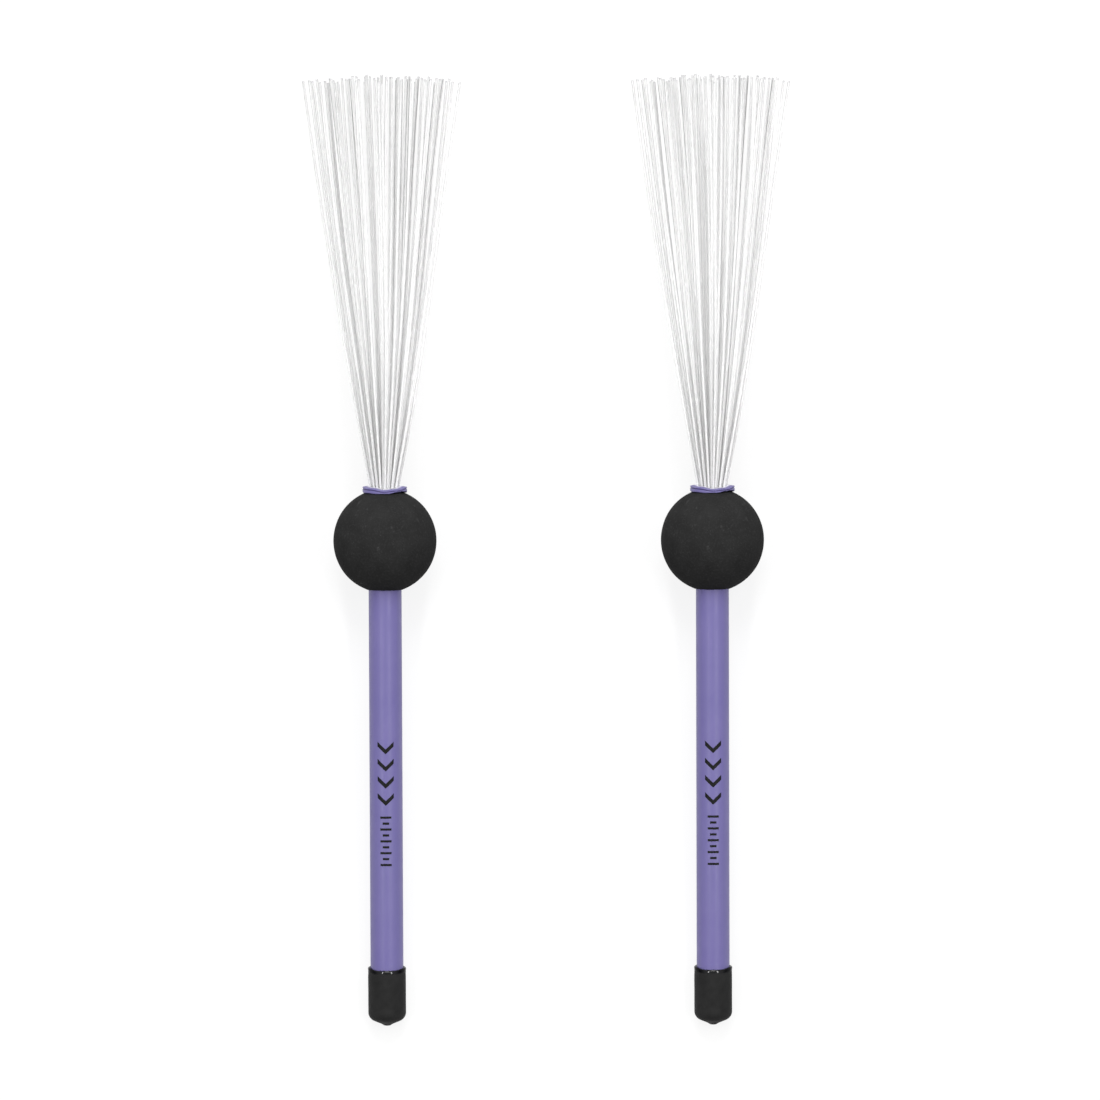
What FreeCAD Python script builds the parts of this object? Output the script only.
import FreeCAD, Part

import math
import os
import random

import Sketcher
from FreeCAD import Placement, Rotation, Vector

# A pair of nylon-filament drum brushes. Each is a plastic tube whose mouth is flared into a lip,
# with a rubber mallet ball that slides on the tube, a dip-moulded cap on the butt end, and a
# bundle of filaments held in the bore, which fan out into a cone.
#
# Every piece is drawn on the brush's own axis: height 0 is the tip of the cap, and heights grow
# towards the filament tips. The pair lies on a surface, each brush resting on its ball and cap.

DIMENSIONS = [
    ("brush_spacing", 110.0, "between the two brush axes"),
    ("ball_radius", 17.5, "mallet ball"),
    ("ball_centre", 163.9, "height of the ball's centre"),
    ("ball_bore", 5.6, "radius of the hole through the ball"),
    ("bore_edge", 0.35, "rounding of the hole's edges"),
    ("tube_radius", 5.55, "outside of the handle tube"),
    ("tube_bore", 4.45, "inside of the handle tube"),
    ("tube_butt", 2.9, "height of the tube's cut end, inside the cap"),
    ("mouth_height", 181.4, "top of the flared lip"),
    ("mouth_bore", 5.15, "bore at the mouth"),
    ("flare_start", 177.4, "height where the bore starts to widen"),
    ("lip_radius", 7.5, "outside of the flared lip"),
    ("lip_root", 180.65, "underside of the lip at the tube"),
    ("lip_rim", 179.95, "underside of the lip at its rim"),
    ("lip_round", 0.5, "rounding of the lip's rim"),
    ("mouth_round", 0.35, "rounding of the mouth's inner edge"),
    ("cap_radius", 6.4, "outside of the butt cap"),
    ("cap_bore", 5.5, "inside of the cap, stretched over the tube"),
    ("cap_mouth", 20.0, "height of the cap's open end"),
    ("cap_corner", 2.2, "rounding between the cap's side and its domed end"),
    ("cap_lip", 0.4, "rounding of the cap's open end"),
    ("dome_rim", 2.1, "height where the domed end would meet the side"),
    ("nub_radius", 0.7, "flat end of the drip nub"),
    ("nub_neck", 1.5, "radius where the nub meets the dome"),
    ("nub_length", 0.55, "how far the nub stands below the dome"),
    ("plug_bottom", 142.0, "adhesive plug in the bore, lower end"),
    ("plug_top", 148.0, "adhesive plug in the bore, upper end"),
    ("glue_line", 0.02, "gap between the bore and what is bonded in it"),
    ("sleeve_bottom", 148.6, "crimped sleeve round the bundle, lower end"),
    ("sleeve_top", 171.6, "crimped sleeve round the bundle, upper end"),
    ("sleeve_bore", 4.09, "inside of the sleeve"),
    ("crimp_depth", 0.15, "depth of a crimp groove"),
    ("crimp_width", 1.6, "width of a crimp groove"),
    ("crimp_inset", 4.0, "from the sleeve's end to the first crimp"),
    ("filament_radius", 0.35, "one nylon filament"),
    ("filament_count", 61, "filaments in one brush"),
    ("packed_radius", 3.7, "outermost filament's centre line inside the sleeve"),
    ("apex_height", 154.2, "height where the spread filaments' lines meet"),
    ("fan_angle", 9.7, "lean of the outermost filament, degrees"),
    ("fan_reach", 165.9, "apex to filament tip"),
    ("fan_set", 1.3, "how far the tips have taken a set to one side"),
    ("spiral_turn", 270.0, "where the spiral of filaments starts, degrees"),
    ("neck_length", 12.0, "from the mouth to where the filaments start to flex"),
    ("bend_reach", 2.0, "tangent length of the bend below the mouth"),
    ("strand_gap", 0.05, "seam between a filament's held and free lengths"),
]

SIDES = {"left": -0.5, "right": 0.5}
FILAMENT_ROWS = ["core", "inner", "middle", "outer", "rim"]
GOLDEN_ANGLE = math.pi * (3 - math.sqrt(5))
WANDER_SEED = 49
TWIST_WANDER = 0.055
LEAN_WANDER = 0.1
TIP_WANDER = 0.9

doc = FreeCAD.newDocument("drum_brushes")
sheet = doc.addObject("Spreadsheet::Sheet", "sizes")
for line, (word, number, meaning) in enumerate(DIMENSIONS, start=1):
    sheet.set(f"A{line}", meaning)
    sheet.set(f"B{line}", str(number))
    sheet.setAlias(f"B{line}", word)
doc.recompute()

pieces = {}


def size(word):
    return float(sheet.get(word))


def add_piece(side, name, feature):
    """File the feature as one sub-part of a brush."""
    feature.Label = f"{side}_{name}"
    pieces[feature.Label] = feature
    return feature


def new_body(side, name):
    return add_piece(side, name, doc.addObject("PartDesign::Body", f"{side}_{name}"))


def origin_plane(body, role):
    return next(plane for plane in body.Origin.OriginFeatures if plane.Role == role)


def outline(body, name, corners):
    """A closed sketch beside the brush axis. A corner is (radius, height), each an expression."""
    sketch = body.newObject("Sketcher::SketchObject", name)
    sketch.AttachmentSupport = [(origin_plane(body, "XZ_Plane"), "")]
    sketch.MapMode = "FlatFace"
    places = [Vector(worth(radius), worth(height), 0) for radius, height in corners]
    for here, after in zip(places, places[1:] + places[:1]):
        sketch.addGeometry(Part.LineSegment(here, after), False)
    for edge in range(len(places)):
        sketch.addConstraint(Sketcher.Constraint("Coincident", edge, 2, (edge + 1) % len(places), 1))
    for edge, (radius, height) in enumerate(corners):
        pin_corner(sketch, edge, "X", radius)
        pin_corner(sketch, edge, "Y", height)
    return sketch


def worth(expression):
    """The number that a sum of sheet words comes to, such as a_word - other_word."""
    total = 0.0
    sign = 1.0
    for token in expression.split():
        if token in "+-":
            sign = -1.0 if token == "-" else 1.0
        else:
            total += sign * (float(token) if token[0].isdigit() else size(token))
    return total


def bound(expression):
    """The same sum, written for setExpression."""
    tokens = expression.split()
    return " ".join(token if token in "+-" or token[0].isdigit() else f"sizes.{token}" for token in tokens)


def pin_corner(sketch, edge, letter, expression):
    """Hold one coordinate of a corner at its expression, or on the axis where it is 0."""
    if expression == "0":
        axis = {"X": -2, "Y": -1}[letter]
        sketch.addConstraint(Sketcher.Constraint("PointOnObject", edge, 1, axis))
        return
    value = worth(expression)
    index = sketch.addConstraint(Sketcher.Constraint(f"Distance{letter}", -1, 1, edge, 1, value))
    sketch.renameConstraint(index, f"{letter.lower()}_{edge}")
    sketch.setExpression(f"Constraints.{letter.lower()}_{edge}", bound(expression))


def turn(body, kind, name, corners):
    """Revolve a sketch all the way round the brush axis: kind is Revolution or Groove."""
    sketch = outline(body, f"{name}_outline", corners)
    feature = body.newObject(f"PartDesign::{kind}", name)
    feature.Profile = sketch
    feature.ReferenceAxis = (sketch, ["V_Axis"])
    feature.Angle = 360
    doc.recompute()
    return feature


def circles(shape, radius, height):
    """Names of the shape's round edges with this radius at this height."""
    found = []
    for number, edge in enumerate(shape.Edges, start=1):
        curve = edge.Curve
        if not isinstance(curve, Part.Circle):
            continue
        if abs(curve.Radius - radius) < 0.01 and abs(curve.Center.z - height) < 0.01:
            found.append(f"Edge{number}")
    return found


def round_off(body, name, feature, places, radius_word):
    """Fillet the round edges at the given (radius, height) places."""
    edges = [edge for radius, height in places for edge in circles(feature.Shape, radius, height)]
    fillet = body.newObject("PartDesign::Fillet", name)
    fillet.Base = (feature, edges)
    fillet.setExpression("Radius", f"sizes.{radius_word}")
    doc.recompute()
    return fillet


def make_tube(side):
    """Handle tube: straight bore and outside, flared into a lip that bears on the ball."""
    body = new_body(side, "handle_tube")
    wall = turn(body, "Revolution", "wall", [
        ("tube_bore", "tube_butt"),
        ("tube_radius", "tube_butt"),
        ("tube_radius", "lip_root"),
        ("lip_radius", "lip_rim"),
        ("lip_radius", "mouth_height"),
        ("mouth_bore", "mouth_height"),
        ("tube_bore", "flare_start"),
    ])
    rim = [(size("lip_radius"), size("lip_rim")), (size("lip_radius"), size("mouth_height"))]
    lip = round_off(body, "lip_rounding", wall, rim, "lip_round")
    mouth = [(size("mouth_bore"), size("mouth_height"))]
    round_off(body, "mouth_rounding", lip, mouth, "mouth_round")


def make_ball(side):
    """Rubber ball with a straight hole that runs on the tube."""
    sphere = doc.addObject("Part::Sphere", f"{side}_ball_blank")
    sphere.setExpression("Radius", "sizes.ball_radius")
    sphere.setExpression(".Placement.Base.z", "sizes.ball_centre")
    drill = doc.addObject("Part::Cylinder", f"{side}_ball_drill")
    drill.setExpression("Radius", "sizes.ball_bore")
    drill.setExpression("Height", "2 * sizes.ball_radius")
    drill.setExpression(".Placement.Base.z", "sizes.ball_centre - sizes.ball_radius")
    bored = doc.addObject("Part::Cut", f"{side}_bored_ball")
    bored.Base = sphere
    bored.Tool = drill
    doc.recompute()
    half_hole = math.sqrt(size("ball_radius") ** 2 - size("ball_bore") ** 2)
    ball = doc.addObject("Part::Fillet", f"{side}_mallet_ball")
    ball.Base = bored
    edges = []
    for end in (-half_hole, half_hole):
        edges += circles(bored.Shape, size("ball_bore"), size("ball_centre") + end)
    rounding = size("bore_edge")
    ball.Edges = [(int(edge[4:]), rounding, rounding) for edge in edges]
    add_piece(side, "mallet_ball", ball)


def make_cap(side):
    """Dip-moulded vinyl cap: thin wall, domed end with the drip nub that dipping leaves."""
    body = new_body(side, "end_cap")
    shell = turn(body, "Revolution", "shell", [
        ("0", "0"),
        ("nub_radius", "0"),
        ("nub_neck", "nub_length"),
        ("cap_radius", "dome_rim"),
        ("cap_radius", "cap_mouth"),
        ("cap_bore", "cap_mouth"),
        ("cap_bore", "tube_butt"),
        ("0", "tube_butt"),
    ])
    corner = [(size("cap_radius"), size("dome_rim"))]
    rounded = round_off(body, "corner_rounding", shell, corner, "cap_corner")
    mouth = [(size("cap_radius"), size("cap_mouth")), (size("cap_bore"), size("cap_mouth"))]
    round_off(body, "mouth_rounding", rounded, mouth, "cap_lip")


def make_sleeve(side):
    """Aluminium sleeve crimped round the filaments at two places."""
    body = new_body(side, "filament_sleeve")
    turn(body, "Revolution", "wall", [
        ("sleeve_bore", "sleeve_bottom"),
        ("tube_bore - glue_line", "sleeve_bottom"),
        ("tube_bore - glue_line", "sleeve_top"),
        ("sleeve_bore", "sleeve_top"),
    ])
    first = "sleeve_bottom + crimp_inset"
    crimp = turn(body, "Groove", "crimp", [
        ("tube_bore - glue_line - crimp_depth", first),
        ("tube_bore", first),
        ("tube_bore", f"{first} + crimp_width"),
        ("tube_bore - glue_line - crimp_depth", f"{first} + crimp_width"),
    ])
    crimps = body.newObject("PartDesign::LinearPattern", "crimps")
    crimps.Originals = [crimp]
    crimps.Direction = (crimp.Profile[0], ["V_Axis"])
    spread = "sizes.sleeve_top - sizes.sleeve_bottom - 2 * sizes.crimp_inset - sizes.crimp_width"
    crimps.setExpression("Length", spread)
    crimps.Occurrences = 2
    body.Tip = crimps


def make_plug(side):
    """Cast adhesive plug that closes the bore under the filaments' butt ends."""
    body = new_body(side, "root_plug")
    sketch = body.newObject("Sketcher::SketchObject", "plug_circle")
    sketch.AttachmentSupport = [(origin_plane(body, "XY_Plane"), "")]
    sketch.MapMode = "FlatFace"
    sketch.setExpression(".AttachmentOffset.Base.z", "sizes.plug_bottom")
    radius = worth("tube_bore - glue_line")
    sketch.addGeometry(Part.Circle(Vector(0, 0, 0), Vector(0, 0, 1), radius), False)
    sketch.addConstraint(Sketcher.Constraint("Coincident", 0, 3, -1, 1))
    index = sketch.addConstraint(Sketcher.Constraint("Radius", 0, radius))
    sketch.renameConstraint(index, "plug_radius")
    sketch.setExpression("Constraints.plug_radius", bound("tube_bore - glue_line"))
    plug = body.newObject("PartDesign::Pad", "plug")
    plug.Profile = sketch
    plug.setExpression("Length", "sizes.plug_top - sizes.plug_bottom")


def direction(around, lean):
    """Unit vector that leans away from the brush axis, towards the angle around it."""
    return Vector(math.sin(lean) * math.cos(around), math.sin(lean) * math.sin(around), math.cos(lean))


def strands():
    """Where each filament lies: its turn round the axis, its lean and its packed radius.

    The filaments are spread evenly over the bundle's round section, by a sunflower spiral."""
    count = int(size("filament_count"))
    for number in range(count):
        share = math.sqrt((number + 0.5) / (count - 0.5))
        lean = share * math.radians(size("fan_angle"))
        around = number * GOLDEN_ANGLE + math.radians(size("spiral_turn"))
        yield number, around, lean, share * size("packed_radius")


def held_length(around, lean, packed):
    """The part of a filament from the plug to the end of the neck: straight, bent, straight."""
    apex = Vector(0, 0, size("apex_height"))
    sideways = Vector(math.cos(around), math.sin(around), 0) * packed
    outwards = direction(around, lean)
    bend = apex + outwards * (packed / math.sin(lean))
    start = sideways + Vector(0, 0, size("plug_top") + size("strand_gap"))
    entry = bend - Vector(0, 0, size("bend_reach"))
    leave = bend + outwards * size("bend_reach")
    # The arc's middle lies on the line from the bend to the arc's centre.
    inwards = (outwards - Vector(0, 0, 1)).normalize()
    radius = size("bend_reach") / math.tan(lean / 2)
    middle = bend + inwards * (radius / math.cos(lean / 2) - radius)
    end = apex + outwards * (neck_top() / math.cos(lean))
    path = Part.Wire([
        Part.LineSegment(start, entry).toShape(),
        Part.Arc(entry, middle, leave).toShape(),
        Part.LineSegment(leave, end).toShape(),
    ])
    section = Part.Wire(Part.Circle(start, Vector(0, 0, 1), size("filament_radius")).toShape())
    return path.makePipeShell([section], True, False)


def neck_top():
    """Height of the end of the neck above the apex."""
    return size("mouth_height") + size("neck_length") - size("apex_height")


def free_length(around, lean, wander):
    """The part of a filament from the neck to its cut tip, straight, leaning a little its own way."""
    apex = Vector(0, 0, size("apex_height"))
    start = apex + direction(around, lean) * ((neck_top() + size("strand_gap")) / math.cos(lean))
    reach = size("fan_reach") - TIP_WANDER * wander.random()
    tip_around = around + TWIST_WANDER * wander.uniform(-1, 1)
    tip_lean = lean * (1 - LEAN_WANDER * wander.random())
    tip = apex + direction(tip_around, tip_lean) * reach - Vector(size("fan_set"), 0, 0)
    return Part.makeCylinder(size("filament_radius"), (tip - start).Length, start, tip - start)


def make_filaments(side):
    """The bundle: one sub-part for the held lengths, and one for each row of free lengths.

    Sixty-one separate rods on computed lines suit neither a sketch nor a primitive each."""
    wander = random.Random(WANDER_SEED)
    held = []
    rows = {row: [] for row in FILAMENT_ROWS}
    for number, around, lean, packed in strands():
        held.append(held_length(around, lean, packed))
        row = FILAMENT_ROWS[number * len(FILAMENT_ROWS) // int(size("filament_count"))]
        rows[row].append(free_length(around, lean, wander))
    roots = doc.addObject("Part::Feature", f"{side}_filament_roots")
    roots.Shape = Part.makeCompound(held)
    add_piece(side, "filament_roots", roots)
    for row, rods in rows.items():
        free = doc.addObject("Part::Feature", f"{side}_filaments_{row}")
        free.Shape = Part.makeCompound(rods)
        add_piece(side, f"filaments_{row}", free)


def resting_tilt():
    """How far a brush's axis rises towards the filaments when its ball and cap touch the surface.

    The ball touches under its centre. The cap touches on the rounding between side and dome."""
    slope = math.atan2(size("dome_rim") - size("nub_length"), size("cap_radius") - size("nub_neck"))
    inset = size("cap_radius") - size("cap_corner")
    dome_there = size("dome_rim") - size("cap_corner") * math.tan(slope)
    corner_height = dome_there + size("cap_corner") / math.cos(slope)
    along = size("ball_centre") - corner_height
    drop = size("ball_radius") - size("cap_corner")
    return math.asin(drop / math.hypot(along, inset)) - math.atan2(inset, along)


def lay_down(across, along):
    """Place both brushes on the surface. The middle of the pair is at (across, along)."""
    tilt = resting_tilt()
    butt_height = size("ball_radius") - size("ball_centre") * math.sin(tilt)
    flat = Rotation(Vector(1, 0, 0), math.degrees(tilt) - 90)
    for side, share in SIDES.items():
        base = Vector(share * size("brush_spacing") - across, -along, butt_height)
        for label, feature in pieces.items():
            if label.startswith(f"{side}_"):
                feature.Placement = Placement(base, flat)
    doc.recompute()


def pair_box():
    box = FreeCAD.BoundBox()
    for feature in pieces.values():
        box.add(feature.Shape.optimalBoundingBox(False))
    return box


def check_document():
    """Stop if any object failed, or any sub-part has no valid solid."""
    for feature in doc.Objects:
        bad = {"Invalid", "Error"} & set(feature.State)
        if bad:
            raise RuntimeError(f"{feature.Label} is {sorted(bad)}")
    for label, feature in pieces.items():
        shape = feature.Shape
        if shape.isNull() or not shape.isValid() or not shape.Solids:
            raise RuntimeError(f"{label} has no valid solid")
        if min(solid.Volume for solid in shape.Solids) <= 0:
            raise RuntimeError(f"{label} holds a solid with no volume")


for brush in SIDES:
    make_tube(brush)
    make_ball(brush)
    make_cap(brush)
    make_sleeve(brush)
    make_plug(brush)
    make_filaments(brush)
doc.recompute()
lay_down(0, 0)
first_box = pair_box()
lay_down(first_box.Center.x, first_box.Center.y)
check_document()

os.makedirs("parts", exist_ok=True)
for label, feature in pieces.items():
    feature.Shape.exportStep(f"parts/{label}.step")

final_box = pair_box()
print("tilt of the axes, degrees:", round(math.degrees(resting_tilt()), 4))
print("box of the pair:", final_box)
for label, feature in pieces.items():
    print(label, len(feature.Shape.Solids), "solids,", round(feature.Shape.Volume, 1), "mm3")
